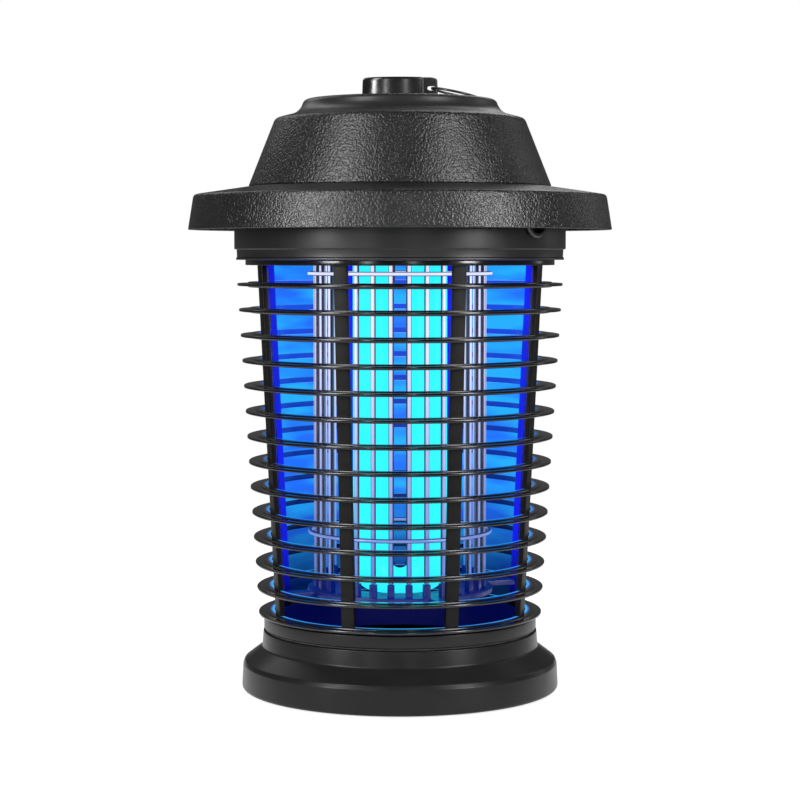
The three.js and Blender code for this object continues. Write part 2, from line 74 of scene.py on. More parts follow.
BAR_COUNT = 8
FIRST_BAR_ANGLE = 22.5
BAR_WIDTH = 6.9
BAR_THICKNESS = 3
BAR_TOP = (77.2, 221.4)
BAR_BOTTOM = (67.9, 38.7)
CAGE_HEAD = (221.3, 223.9)
RING_COUNT = 14

ROD_COUNT = 30
ROD_CIRCLE = 43.7
ROD_RADIUS = 1.3
SOCKET_SIZE = 3.4
ROD_SPAN = (60.3, 221.4)
HOOP_CIRCLE = 47
HOOP_WIRE = 1.1
HOOP_HEIGHTS = {"grid_electrode_a": 217, "grid_electrode_b": 82.6}

LAMP_TUBE = 10
LAMP_LEG = 14.6
LAMP_TOP = 223.4
LAMP_BOTTOM = 49.3
LAMP_GAP_BOTTOM = 62.5

SPIGOT_RADIUS = 66.6
NECK_BORE = 69.2
NECK_TOP = 31
THREAD_ANGLES = (30, 150, 270)
THREAD_SPAN = 24
THREAD_RISE = 3.2
THREAD_HEIGHT = 25.2

SWITCH_ANGLE = -39.3
SWITCH_HEIGHT = 243.9
ROCKER_PIVOT = 83.6
ROCKER_TILT = 10
GLAND_ANGLE = 90
GLAND_HEIGHT = 243

FLOOR_RADIUS = 600


def bar_radius(height):
    """The radius of the bars' outer faces at a height."""
    share = (height - BAR_BOTTOM[1]) / (BAR_TOP[1] - BAR_BOTTOM[1])
    return BAR_BOTTOM[0] + (BAR_TOP[0] - BAR_BOTTOM[0]) * share


def rod_angle(index):
    return 360 / ROD_COUNT * (index + 0.5) - 90


def ring_place(index):
    """The height and the outer radius of a louvre ring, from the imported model."""
    low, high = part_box(f"guard_ring_{index:02d}")
    return (low[2] + high[2]) / 2 / MM, (high[0] - low[0]) / 2 / MM


# ---------------------------------------------------------------- material helpers


class Finish:
    """A material on one Principled shader, patterned by noise in the object's own space."""

    def __init__(self, name, metallic=0.0, specular=0.5):
        self.material = bpy.data.materials.new(name)
        self.material.use_nodes = True
        self.tree = self.material.node_tree
        self.shader = self.tree.nodes["Principled BSDF"]
        self.shader.inputs["Metallic"].default_value = metallic
        self.shader.inputs["Specular IOR Level"].default_value = specular
        self.coords = self.tree.nodes.new("ShaderNodeTexCoord")
        self.last_normal = None

    def link(self, value, socket):
        self.tree.links.new(value, socket)

    def place(self, stretch):
        """Object coordinates, squeezed along each axis by stretch."""
        scaled = self.tree.nodes.new("ShaderNodeMapping")
        scaled.inputs["Scale"].default_value = stretch
        self.link(self.coords.outputs["Object"], scaled.inputs["Vector"])
        return scaled.outputs["Vector"]

    def noise(self, scale, detail=2.0, stretch=(1, 1, 1)):
        texture = self.tree.nodes.new("ShaderNodeTexNoise")
        texture.inputs["Scale"].default_value = scale
        texture.inputs["Detail"].default_value = detail
        self.link(self.place(stretch), texture.inputs["Vector"])
        return texture.outputs["Fac"]

    def pebbles(self, scale):
        texture = self.tree.nodes.new("ShaderNodeTexVoronoi")
        texture.feature = "SMOOTH_F1"
        texture.inputs["Scale"].default_value = scale
        texture.inputs["Smoothness"].default_value = 0.5
        self.link(self.place((1, 1, 1)), texture.inputs["Vector"])
        return self.maths("SUBTRACT", 1.0, texture.outputs["Distance"])

    def maths(self, operation, *values):
        node = self.tree.nodes.new("ShaderNodeMath")
        node.operation = operation
        for socket, value in zip(node.inputs, values):
            if isinstance(value, (int, float)):
                socket.default_value = value
            else:
                self.link(value, socket)
        return node.outputs["Value"]

    def between(self, value, low, high, start=0.35, end=0.65):
        """Maps the run of a value from start to end onto low to high."""
        node = self.tree.nodes.new("ShaderNodeMapRange")
        node.inputs["From Min"].default_value = start
        node.inputs["From Max"].default_value = end
        node.inputs["To Min"].default_value = low
        node.inputs["To Max"].default_value = high
        self.link(value, node.inputs["Value"])
        return node.outputs["Result"]

    def tints(self, value, first, second):
        node = self.tree.nodes.new("ShaderNodeMix")
        node.data_type = "RGBA"
        colours = [socket for socket in node.inputs if socket.type == "RGBA"]
        colours[0].default_value = (*first, 1)
        colours[1].default_value = (*second, 1)
        self.link(value, node.inputs["Factor"])
        return next(socket for socket in node.outputs if socket.type == "RGBA")

    def colour(self, first, second, scale=30.0, stretch=(1, 1, 1)):
        share = self.between(self.noise(scale, 3.0, stretch), 0.0, 1.0)
        self.link(self.tints(share, first, second), self.shader.inputs["Base Color"])

    def roughness(self, low, high, scale=120.0):
        share = self.between(self.noise(scale, 3.0), low, high)
        self.link(share, self.shader.inputs["Roughness"])

    def bump(self, height, depth, strength=1.0):
        """Adds relief of a depth in mm to what is there already."""
        node = self.tree.nodes.new("ShaderNodeBump")
        node.inputs["Distance"].default_value = depth * MM
        node.inputs["Strength"].default_value = strength
        self.link(height, node.inputs["Height"])
        if self.last_normal:
            self.link(self.last_normal, node.inputs["Normal"])
        self.last_normal = node.outputs["Normal"]
        self.link(self.last_normal, self.shader.inputs["Normal"])

    def vectors(self, operation, *values, output="Vector"):
        node = self.tree.nodes.new("ShaderNodeVectorMath")
        node.operation = operation
        for socket, value in zip(node.inputs, values):
            if isinstance(value, tuple):
                socket.default_value = value
            else:
                self.link(value, socket)
        return node.outputs[output]

    def rise(self, source):
        """The Z part of the object coordinates or of the surface normal."""
        split = self.tree.nodes.new("ShaderNodeSeparateXYZ")
        self.link(self.coords.outputs[source], split.inputs["Vector"])
        return split.outputs["Z"]

    def across(self):
        """Object coordinates with the height left out."""
        return self.vectors("MULTIPLY", self.coords.outputs["Object"], (1, 1, 0))

    def height_share(self, low, high):
        """0 at the height low and 1 at the height high, both in mm."""
        return self.between(self.rise("Object"), 0.0, 1.0, low * MM, high * MM)

    def outwardness(self):
        """1 on a face that looks straight away from the lantern's axis, -1 on one that faces it."""
        away = self.vectors("NORMALIZE", self.across())
        return self.vectors("DOT_PRODUCT", away, self.coords.outputs["Normal"], output="Value")

    def facing_axis(self):
        """1 on a face that looks towards the lantern's axis, 0 on one that looks away."""
        return self.between(self.outwardness(), 0.0, 1.0, 0.0, -0.7)

    def beyond_bars(self):
        """How far a point lies outside the bars' outer faces, in metres."""
        slope = (BAR_TOP[0] - BAR_BOTTOM[0]) / (BAR_TOP[1] - BAR_BOTTOM[1])
        foot = (BAR_BOTTOM[0] - slope * BAR_BOTTOM[1]) * MM
        face = self.maths("MULTIPLY_ADD", self.rise("Object"), slope, foot)
        return self.maths("SUBTRACT", self.vectors("LENGTH", self.across(), output="Value"), face)

    def glow(self, colour, strength):
        """Gives off light; colour is a tuple or a pattern, and strength a number or a pattern."""
        if isinstance(colour, tuple):
            self.shader.inputs["Emission Color"].default_value = (*colour, 1)
        else:
            self.link(colour, self.shader.inputs["Emission Color"])
        if isinstance(strength, (int, float)):
            self.shader.inputs["Emission Strength"].default_value = strength
        else:
            self.link(strength, self.shader.inputs["Emission Strength"])


def plastic(name, first, second, rough, grain=1500.0, depth=0.01, specular=0.5):
    """Moulded plastic or rubber: two close tints, uneven gloss and a fine grain."""
    made = Finish(name, specular=specular)
    made.colour(first, second)
    made.roughness(*rough)
    made.bump(made.noise(grain, 2.0), depth)
    return made


def grained_plastic():
    """Roof plastic with a fine leather-like grain."""
    made = plastic("grained_black_plastic", (0.005, 0.005, 0.0052), (0.007, 0.007, 0.0075), (0.29, 0.33))
    made.bump(made.pebbles(1050.0), 0.12)
    made.bump(made.between(made.noise(780.0, 1.0), 0.0, 1.0, 0.4, 0.6), 0.12)
    return made


def bar_plastic():
    """Black guard plastic, with a painted deep blue glow on its inner faces that stands in for the lamp's
    light and fades out near the bottom.
    """
    made = plastic("guard_bar_plastic_painted_glow", (0.006, 0.0055, 0.0055), (0.009, 0.0085, 0.008), (0.36, 0.44),
                   depth=0.006, specular=0.12)
    # Painted glow: a deep blue emission on the inner faces above the floor, in place of the lamp's light.
    lit = made.maths("MULTIPLY", made.facing_axis(), made.height_share(42, 75))
    made.glow((0.008, 0.01, 1.0), made.maths("MULTIPLY", lit, made.between(made.noise(25.0), 0.65, 1.0)))
    return made


def ring_plastic():
    """Black guard plastic with painted light: a painted blue glow on the inner faces that fades out towards
    the floor, and painted cyan highlights on the ring tops at the bars, strongest on the lower rings.
    """
    made = plastic("guard_ring_plastic_painted_glow", (0.002, 0.002, 0.0023), (0.004, 0.004, 0.0045), (0.14, 0.2),
                   depth=0.003, specular=0.5)
    # Painted highlight: a cyan emission on the ring tops next to the bars, strongest on the lower rings.
    root = made.between(made.beyond_bars(), 1.0, 0.0, -0.0014, 0.0002)
    painted_highlight_at_bars = made.maths("MULTIPLY", root, made.between(made.rise("Normal"), 0.0, 1.0, 0.6, 0.9))
    # Painted glow: a deep blue emission on the inner faces, fading out towards the floor, in place of the
    # lamp's light.
    painted_glow_height_fade = made.between(made.height_share(80, 190), 0.04, 0.9, 0.0, 1.0)
    painted_highlight_height_fade = made.between(made.height_share(45, 150), 0.9, 0.05, 0.0, 1.0)
    lit = made.maths("MULTIPLY", made.facing_axis(), painted_glow_height_fade)
    colour = made.tints(painted_highlight_at_bars, (0.01, 0.07, 0.83), (0.04, 0.42, 0.95))
    made.glow(colour, made.maths("MAXIMUM", lit, made.maths("MULTIPLY", painted_highlight_at_bars, painted_highlight_height_fade)))
    return made


def band_plastic():
    """Satin plastic of the cage's foot, with a painted dim navy glow on its inner face that stands in for
    the lamp's light.
    """
    made = plastic("foot_band_plastic_painted_glow", (0.007, 0.007, 0.0072), (0.009, 0.009, 0.0092), (0.32, 0.36),
                   depth=0.008, specular=0.2)
    # Painted glow: a dim navy emission on the faces that look towards the axis.
    made.glow((0.0, 0.006, 0.35), made.maths("MULTIPLY", made.facing_axis(), 0.15))
    return made


def metal(name, first, second, rough, stretch=(1, 1, 1), depth=0.004):
    made = Finish(name, metallic=1.0)
    made.colour(first, second, 180.0, stretch)
    made.roughness(*rough, scale=300.0)
    made.bump(made.noise(900.0, 2.0, stretch), depth)
    return made


def grid_wire():
    """Wire with a painted glow standing in for the lamp's light: a painted highlight along the strips that
    face in or out, dark at the flanks, bluer and dimmer towards the bottom.
    """
    made = metal("grid_wire_painted_glow", (0.1, 0.1, 0.16), (0.15, 0.15, 0.22), (0.34, 0.42), (1, 1, 0.04), 0.001)
    # Painted highlight: an emission along the faces that look towards or away from the axis, bluer and
    # weaker lower down.
    painted_highlight_strip = made.between(made.maths("ABSOLUTE", made.outwardness()), 0.0, 1.0, 0.58, 0.9)
    painted_glow_height_share = made.between(made.height_share(56, 215), 0.75, 1.05, 0.0, 1.0)
    colour = made.tints(made.height_share(60, 175), (0.07, 0.2, 0.75), (0.72, 0.75, 0.97))
    made.glow(colour, made.maths("MULTIPLY", painted_highlight_strip, painted_glow_height_share))
    return made


def lamp_phosphor():
    """The coated tube: an even cyan glow, a little greener where the coat is thin."""
    made = Finish("lamp_phosphor", specular=0.15)
    made.colour((0.01, 0.22, 0.26), (0.012, 0.26, 0.3), 40.0)
    made.roughness(0.25, 0.4)
    made.bump(made.noise(1400.0), 0.004)
    share = made.between(made.noise(60.0, 3.0), 0.0, 1.0)
    made.glow(made.tints(share, (0.03, 0.82, 0.93), (0.022, 0.88, 0.97)), 1.0)
    return made


def lit_pane():
    """Translucent rear pane with a painted glow standing in for the lamp's light: brighter and greener blue
    in cloudy bands, fading to navy near the floor.
    """
    made = Finish("lit_blue_pane", specular=0.3)
    made.colour((0.004, 0.02, 0.2), (0.006, 0.03, 0.26), 40.0)
    made.roughness(0.3, 0.5)
    made.bump(made.noise(500.0), 0.02)
    # Painted glow: a blue emission in cloudy bands, fading out towards the floor.
    bands = made.between(made.noise(14.0, 2.0, (1, 1, 5.5)), 0.0, 1.0, 0.38, 0.6)
    colour = made.tints(bands, (0.014, 0.15, 0.84), (0.018, 0.42, 0.95))
    painted_glow_floor_fade = made.between(made.height_share(48, 104), 0.03, 1.0, 0.0, 1.0)
    made.glow(colour, painted_glow_floor_fade)
    return made


def all_finishes():
    """One finish for each material slot of the record."""
    rubber = plastic("soft_black_rubber", (0.006, 0.006, 0.006), (0.011, 0.011, 0.011), (0.7, 0.9),
                     grain=1200.0, depth=0.03)
    white = plastic("white_moulded_plastic", (0.72, 0.72, 0.7), (0.8, 0.8, 0.78), (0.35, 0.5))
    board = plastic("green_board", (0.012, 0.09, 0.035), (0.02, 0.13, 0.055), (0.3, 0.45),
                    grain=700.0, depth=0.02)
    dark = plastic("component_casing", (0.02, 0.02, 0.024), (0.035, 0.035, 0.04), (0.4, 0.6),
                   grain=900.0, depth=0.02)
    satin = plastic("satin_black_plastic", (0.009, 0.009, 0.0092), (0.011, 0.011, 0.0112), (0.35, 0.39),
                    grain=1800.0, depth=0.008)
    wire = plastic("coated_wire", (0.008, 0.008, 0.009), (0.014, 0.014, 0.015), (0.25, 0.4))
    insulator = plastic("insulator_plastic_painted_glow", (0.004, 0.005, 0.03), (0.006, 0.008, 0.05), (0.3, 0.45),
                        grain=900.0, depth=0.01)
    # Painted glow: a patchy blue emission standing in for the lamp's light on the insulators.
    insulator.glow((0.0, 0.02, 0.36), insulator.maths("MULTIPLY", insulator.noise(30.0), 0.7))
    return {
        "grained_black": grained_plastic(),
        "satin_black": satin,
        "guard_black": ring_plastic(),
        "black_rubber": rubber,
        "black_wire": wire,
        "zinc_steel": metal("zinc_plated_steel", (0.5, 0.5, 0.48), (0.62, 0.62, 0.6), (0.28, 0.42)),
        "grid_steel": grid_wire(),
        "lamp_glow": lamp_phosphor(),
        "blue_pane": lit_pane(),
        "white_plastic": white,
        "insulator": insulator,
        "circuit_green": board,
        "component_dark": dark,
        "lead_red": plastic("lead_insulation", (0.22, 0.012, 0.012), (0.3, 0.02, 0.02), (0.35, 0.5)),
    }


finishes = all_finishes()
bar_finish = bar_plastic()
band_finish = band_plastic()
tray_finish = plastic("tray_plastic", (0.007, 0.007, 0.0072), (0.009, 0.009, 0.0092), (0.3, 0.34),
                      grain=1800.0, depth=0.006, specular=0.16)
lug_finish = plastic("glossy_lug_plastic", (0.006, 0.006, 0.0063), (0.009, 0.009, 0.0095), (0.16, 0.22),
                     depth=0.008)

# ---------------------------------------------------------------- shape helpers


def soften(outline, steps=4):
    """Rounds the corners of an outline of (radius, height) or (radius, height, rounding) points."""
    smooth = []
    for i, corner in enumerate(outline):
        here = Vector(corner[:2])
        if len(corner) == 2:
            smooth.append(here)
            continue
        after_point = outline[(i + 1) % len(outline)]
        before = (Vector(outline[i - 1][:2]) - here).normalized() * corner[2]
        after = (Vector(after_point[:2]) - here).normalized() * corner[2]
        for k in range(steps + 1):
            t = k / steps
            smooth.append(here + before * (1 - t) ** 2 + after * t ** 2)
    return smooth


def bridge(bm, first, second):
    """Faces between two closed rows of vertices; a row of one vertex is a pole."""
    count = max(len(first), len(second))
    for j in range(count):
        corners = []
        for vertex in (first[j % len(first)], first[(j + 1) % len(first)],
                       second[(j + 1) % len(second)], second[j % len(second)]):
            if vertex not in corners:
                corners.append(vertex)
        if len(corners) > 2:
            bm.faces.new(corners)


def add_turned(bm, outline, segments=ROUND, place=Matrix()):
    """Turns a closed outline of (radius, height) points round the Z axis."""
    rows = []
    for radius, height in outline:
        if radius < 1e-6:
            rows.append([bm.verts.new(place @ Vector((0, 0, height)))])
            continue
        angles = [2 * pi * j / segments for j in range(segments)]
        points = [Vector((radius * cos(a), radius * sin(a), height)) for a in angles]
        rows.append([bm.verts.new(place @ point) for point in points])
    for i, row in enumerate(rows):
        bridge(bm, rows[i - 1], row)


def add_loft(bm, sections):
    """Joins closed sections of points into one tube with flat ends."""
    rows = [[bm.verts.new(corner) for corner in section] for section in sections]
    for first, second in zip(rows, rows[1:]):
        bridge(bm, first, second)
    bm.faces.new(rows[0])
    bm.faces.new(rows[-1])


def add_sweep(bm, section, start, end, rise=0.0, steps=12):
    """Sweeps a section of (radius, height) corners round the Z axis, climbing by rise."""
    sections = []
    for i in range(steps + 1):
        angle = radians(start + (end - start) * i / steps)
        lift = rise * (i / steps - 0.5)
        sections.append([Vector((r * cos(angle), r * sin(angle), z + lift)) for r, z in section])
    add_loft(bm, sections)


def add_torus(bm, major, minor, place=Matrix(), segments=96, sides=12):
    rows = []
    for i in range(segments):
        turn = 2 * pi * i / segments
        row = []
        for j in range(sides):
            angle = 2 * pi * j / sides
            reach = major + minor * cos(angle)
            point = Vector((reach * cos(turn), reach * sin(turn), minor * sin(angle)))
            row.append(bm.verts.new(place @ point))
        rows.append(row)
    for i, row in enumerate(rows):
        bridge(bm, rows[i - 1], row)


def add_prism(bm, outline, half_width, place=Matrix(), bevel=0.0):
    """Extrudes an outline of (x, z) points along Y, to half_width on each side."""
    prism = bmesh.new()
    rows = [[prism.verts.new((x, side * half_width, z)) for x, z in outline] for side in (-1, 1)]
    bridge(prism, rows[0], rows[1])
    prism.faces.new(rows[0])
    prism.faces.new(rows[1])
    bmesh.ops.recalc_face_normals(prism, faces=prism.faces)
    if bevel:
        bmesh.ops.bevel(prism, geom=prism.edges[:], offset=bevel, segments=3, affect="EDGES", profile=0.6)
    prism.transform(place)
    carried = {vertex: bm.verts.new(vertex.co) for vertex in prism.verts}
    for face in prism.faces:
        bm.faces.new([carried[vertex] for vertex in face.verts])
    prism.free()


def stadium(length, width, steps=12):
    """The outline of a slot with round ends, as (x, z) points round its middle."""
    half = (length - width) / 2
    outline = []
    for side, start in ((1, -90), (-1, 90)):
        for k in range(steps + 1):
            angle = radians(start + 180 * k / steps)
            outline.append((side * half + width / 2 * cos(angle), width / 2 * sin(angle)))
    return outline


def turn_z(angle):
    return Matrix.Rotation(radians(angle), 4, "Z")


def facing_out(angle, radius, height):
    """A frame whose own +Z points away from the lantern's axis."""
    return turn_z(angle) @ Matrix.Translation((radius, 0, height)) @ Matrix.Rotation(pi / 2, 4, "Y")


def mesh_object(name, bm):
    bmesh.ops.recalc_face_normals(bm, faces=bm.faces)
    bmesh.ops.scale(bm, vec=(MM, MM, MM), verts=bm.verts)
    mesh = bpy.data.meshes.new(name)
    bm.to_mesh(mesh)
    bm.free()
    made = bpy.data.objects.new(name, mesh)
    bpy.context.collection.objects.link(made)
    return made


def carve(target, cutters):
    """Takes each cutter's space out of the target."""
    for bm in cutters:
        cutter = mesh_object("cutter", bm)
        cut = target.modifiers.new("cut", "BOOLEAN")
        cut.operation = "DIFFERENCE"
        cut.solver = "EXACT"
        cut.object = cutter
        seen = target.evaluated_get(bpy.context.evaluated_depsgraph_get())
        carved = bpy.data.meshes.new_from_object(seen)
        target.modifiers.clear()
        target.data = carved
        bpy.data.objects.remove(cutter)


def add_piece(name, bm, slot, body="housing", nodes=(), finish=None, cutters=(), sharp=35):
    """Makes a visible piece that rides on a body and stands for the named CAD nodes."""
    made = mesh_object(name, bm)
    carve(made, cutters)
    made.data.materials.clear()
    made.data.materials.append((finish or finishes[slot]).material)
    made.data.shade_smooth()
    made.data.set_sharp_from_angle(angle=radians(sharp))
    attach(made, body)
    if nodes:
        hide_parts(*nodes)
    return made


# ---------------------------------------------------------------- roof and hanger


def make_roof():
    """Dome, stepped crown and brim in one moulding, with a smooth cove under the crown."""
    slope = (BRIM_TOP[1] - DOME_FOOT[1]) / (BRIM_TOP[0] - DOME_FOOT[0])

    def underside(radius):
        return DOME_FOOT[1] - 3.2 + slope * (radius - DOME_FOOT[0])

    cove_foot = (61.9, 297.5, 0.8)
    shoulder = (64.7, 296.7, 1.8)
    outline = soften([
        (4.4, CAP_TOP),
        (49.7, CAP_TOP, 2.4),
        (51.9, 300.0, 5.0),
        cove_foot,
        shoulder,
        (78.4, 262.3, 0.5),
        (77.9, 261.2),
        (79.4, 261.6, 0.4),
        (BRIM_TOP[0], BRIM_TOP[1], 1.8),
        (BRIM_BOTTOM[0], BRIM_BOTTOM[1], 0.6),
        (BRIM_BOTTOM[0] - 2.5, BRIM_BOTTOM[1], 0.5),
        (BRIM_TOP[0] - 2.5, underside(BRIM_TOP[0] - 2.5), 1.0),
        (82.8, underside(82.8)),
        (82.8, 252.4, 0.4),
        (80.6, 252.4, 0.4),
        (80.6, underside(80.6)),
        (75.8, 260.7),
        (62.9, 293.9),
        (49.1, 299.5),
        (47.2, CAP_TOP - 2.5),
        (4.4, CAP_TOP - 2.5),
    ], 6)
    bm = bmesh.new()
    add_turned(bm, outline, 160)
    roof = add_piece("roof_dome_and_brim", bm, "grained_black", nodes=["roof_cap"], sharp=40)
    roof.data.materials.append(finishes["satin_black"].material)
    for face in roof.data.polygons:
        centre = face.center
        radius = Vector(centre[:2]).length
        if 49.6 * MM < radius < 61.6 * MM and centre.z > 297 * MM:
            face.material_index = 1


def make_hanger():
    """An oval lug, thinned to a web with an eye at one end, and the wire ring lying in it."""
    bm = bmesh.new()
    oval = soften([(0, CAP_TOP + 0.3), (19.7, CAP_TOP + 0.3), (19.3, 318, 2.0), (0, 318)], 5)
    add_turned(bm, oval, 96, Matrix.Diagonal((1, 19 / 39.4, 1, 1)))
    cutters = []
    for side in (-1, 1):
        scallop = bmesh.new()
        outline = [(11, 300), (31, 300), (31, 330), (11, 330)]
        add_prism(scallop, outline, 8, Matrix.Translation((0, side * 11.5, 0)), 0.8)
        cutters.append(scallop)
    eye = bmesh.new()
    add_prism(eye, stadium(4.6, 2.6), 12, Matrix.Translation((EYE[0] - 0.2, 0, EYE[2])))
    cutters.append(eye)
    add_piece("hanger_lug_oval", bm, "satin_black", nodes=["hanger_lug"], finish=lug_finish, cutters=cutters)

    shank = bmesh.new()
    add_turned(shank, soften([(0, 290), (4, 290, 0.6), (4, CAP_TOP + 0.3), (0, CAP_TOP + 0.3)]), 32)
    add_piece("hanger_shank", shank, "satin_black")

    ring = bmesh.new()
    slope = Matrix.Rotation(radians(RING_SLOPE), 4, "Y")
    place = Matrix.Translation(EYE) @ slope @ Matrix.Translation((RING_RADIUS, 0, 0))
    add_torus(ring, RING_RADIUS, RING_WIRE, place)
    add_piece("hanging_wire_ring", ring, "black_wire", "ring", ["hanging_ring"])


# ---------------------------------------------------------------- upper housing


def make_housing():
    """The smooth collar under the brim, with its deck, and bores in its wall for the switch and gland."""
    outline = soften([
        (0, DECK_BOTTOM),
        (85.1, DECK_BOTTOM, 0.3),
        (85.1, DECK_BOTTOM + 1.0, 0.25),
        (84.6, DECK_BOTTOM + 1.5, 0.2),
        (84.8, 229.3, 0.25),
        (HOUSING_RADIUS, 229.6, 0.3),
        (HOUSING_RADIUS, HOUSING_TOP, 0.4),
        (83.4, HOUSING_TOP),
        (83.4, DECK_TOP),
        (0, DECK_TOP),
    ])
    bm = bmesh.new()
    add_turned(bm, outline, 144)
    lamp_hole = bmesh.new()
    lying = Matrix.Translation((0, 0, 225)) @ Matrix.Rotation(pi / 2, 4, "X")
    add_prism(lamp_hole, stadium(54.8, 23.8), 4, lying)
    bores = []
    for radius, angle, height in ((8, SWITCH_ANGLE, SWITCH_HEIGHT), (6.4, GLAND_ANGLE, GLAND_HEIGHT)):
        bore = bmesh.new()
        place = facing_out(angle, HOUSING_RADIUS, height)
        add_turned(bore, [(0, -8), (radius, -8), (radius, 8), (0, 8)], 48, place)
        bores.append(bore)
    add_piece("housing_collar", bm, "satin_black", nodes=["upper_housing"], cutters=[lamp_hole, *bores])


def make_switch():
    frame_outline = soften([
        (0, -16),
        (7.5, -16),
        (7.5, 0.7),
        (9.0, 0.7, 0.2),
        (9.0, 1.8, 0.5),
        (8.2, 2.6, 0.5),
        (6.6, 2.6, 0.4),
        (6.6, -9),
        (0, -9),
    ])
    bezel = bmesh.new()
    add_turned(bezel, frame_outline, 48, facing_out(SWITCH_ANGLE, HOUSING_RADIUS, SWITCH_HEIGHT))
    add_piece("switch_bezel", bezel, "guard_black", nodes=["switch_frame"], finish=finishes["satin_black"])

    tilt = Matrix.Rotation(radians(ROCKER_TILT), 4, "Y")
    seat = facing_out(SWITCH_ANGLE, ROCKER_PIVOT, SWITCH_HEIGHT) @ tilt
    side = [(-4.7, 3.2), (0, 2.3), (4.7, 3.2), (4.7, 1.2), (2.4, -3), (-2.4, -3), (-4.7, 1.2)]
    rocker = bmesh.new()
    add_prism(rocker, side, 3.1, seat, 0.35)
    pin = soften([(0, -6.3), (1, -6.3), (1, 6.3), (0, 6.3)])
    add_turned(rocker, pin, 16, seat @ Matrix.Rotation(pi / 2, 4, "X"))
    add_piece("switch_rocker", rocker, "satin_black", "rocker", ["power_rocker"])


def make_gland():
    """A ribbed rubber sleeve where the mains lead would leave."""
    ribs = []
    for k in range(4):
        height = 5.0 + 1.8 * k
        ribs += [(5.7 - 0.15 * k, height, 0.2), (5.7 - 0.15 * k, height + 0.9, 0.2)]
        ribs += [(5.0 - 0.1 * k, height + 1.0), (5.0 - 0.1 * k, height + 1.7)]
    outline = soften([
        (3.2, -8),
        (6, -8),
        (6, 0.7),
        (8.5, 0.7, 0.3),
        (8.5, 3, 0.8),
        (6, 4.2, 0.5),
        *ribs,
        (4.7, 13, 0.5),
        (3.2, 13, 0.4),
    ])
    bm = bmesh.new()
    add_turned(bm, outline, 48, facing_out(GLAND_ANGLE, HOUSING_RADIUS, GLAND_HEIGHT))
    add_piece("cable_gland_sleeve", bm, "black_rubber", nodes=["cable_gland"])


# ---------------------------------------------------------------- lamp and high-voltage grid


def lamp_section(inner, outer, sides=32):
    """An oval section of the bent tube, between its inner gap and its outer outline."""
    middle = (inner + outer) / 2
    across = (outer - inner) / 2
    section = []
    for j in range(sides):
        angle = 2 * pi * j / sides
        spot = middle + across * cos(angle)
        section.append(Vector((spot.x, LAMP_TUBE * sin(angle), spot.y)))
    return section


def make_lamp():
    """A bent tube: two straight legs and a squarish turn at the bottom."""
    half_gap = LAMP_LEG - LAMP_TUBE
    outer_half = LAMP_LEG + LAMP_TUBE
    centre = LAMP_GAP_BOTTOM + half_gap
    depth = centre - LAMP_BOTTOM

    def soft(value):
        return (1 if value > 0 else -1) * abs(value) ** (2 / 3)

    sections = [lamp_section(Vector((half_gap, LAMP_TOP)), Vector((outer_half, LAMP_TOP)))]
    steps = 40
    for i in range(steps + 1):
        angle = pi * i / steps
        inner = Vector((half_gap * cos(angle), centre - half_gap * sin(angle)))
        outer = Vector((outer_half * soft(cos(angle)), centre - depth * soft(sin(angle))))
        sections.append(lamp_section(inner, outer))
    sections.append(lamp_section(Vector((-half_gap, LAMP_TOP)), Vector((-outer_half, LAMP_TOP))))
    bm = bmesh.new()
    add_loft(bm, sections)
    add_piece("lamp_u_tube", bm, "lamp_glow", nodes=["uv_lamp"], sharp=60)


def make_electrode(name, first_rod):
    """Every second rod of the grid, welded to the electrode's hoop by small tabs."""
    hoop_height = HOOP_HEIGHTS[name]
    bm = bmesh.new()
    add_torus(bm, HOOP_CIRCLE, HOOP_WIRE, Matrix.Translation((0, 0, hoop_height)), 120, 12)
    low, high = ROD_SPAN
    rod = soften([(0, low), (ROD_RADIUS, low, 0.5), (ROD_RADIUS, high, 0.5), (0, high)])
    for i in range(first_rod, ROD_COUNT, 2):
        turn = turn_z(rod_angle(i))
        add_turned(bm, rod, 16, turn @ Matrix.Translation((ROD_CIRCLE, 0, 0)))
        tab = [(ROD_CIRCLE, -0.7), (HOOP_CIRCLE, -0.7), (HOOP_CIRCLE, 0.7), (ROD_CIRCLE, 0.7)]
        add_prism(bm, tab, 0.7, turn @ Matrix.Translation((0, 0, hoop_height)), 0.15)
    add_piece(f"{name}_rods", bm, "grid_steel", nodes=[name])


def make_insulators():
    upper = bmesh.new()
    add_turned(upper, soften([(39, 221.7, 0.4), (51, 221.7, 0.4), (51, 223.7), (39, 223.7)]), 96)
    add_piece("upper_grid_insulator", upper, "insulator", nodes=["upper_insulator"])
    lower = bmesh.new()
    plate = [(27.5, 50.5, 0.5), (48.5, 50.5, 0.5), (48.5, 53.5, 0.5), (27.5, 53.5, 0.5)]
    add_turned(lower, soften(plate), 96)
    for i in range(4):
        arm = [(47, 50.5), (65, 50.5), (65, 53.5), (47, 53.5)]
        add_prism(lower, arm, 4, turn_z(FIRST_BAR_ANGLE + 90 * i), 0.5)
    half = SOCKET_SIZE / 2
    for i in range(ROD_COUNT):
        inner, outer = ROD_CIRCLE - half, ROD_CIRCLE + half
        socket = [(inner, 53), (outer, 53), (outer, 60), (inner, 60)]
        add_prism(lower, socket, half, turn_z(rod_angle(i)), 0.4)
    add_piece("lower_grid_insulator", lower, "insulator", nodes=["lower_insulator"])


# ---------------------------------------------------------------- guard cage


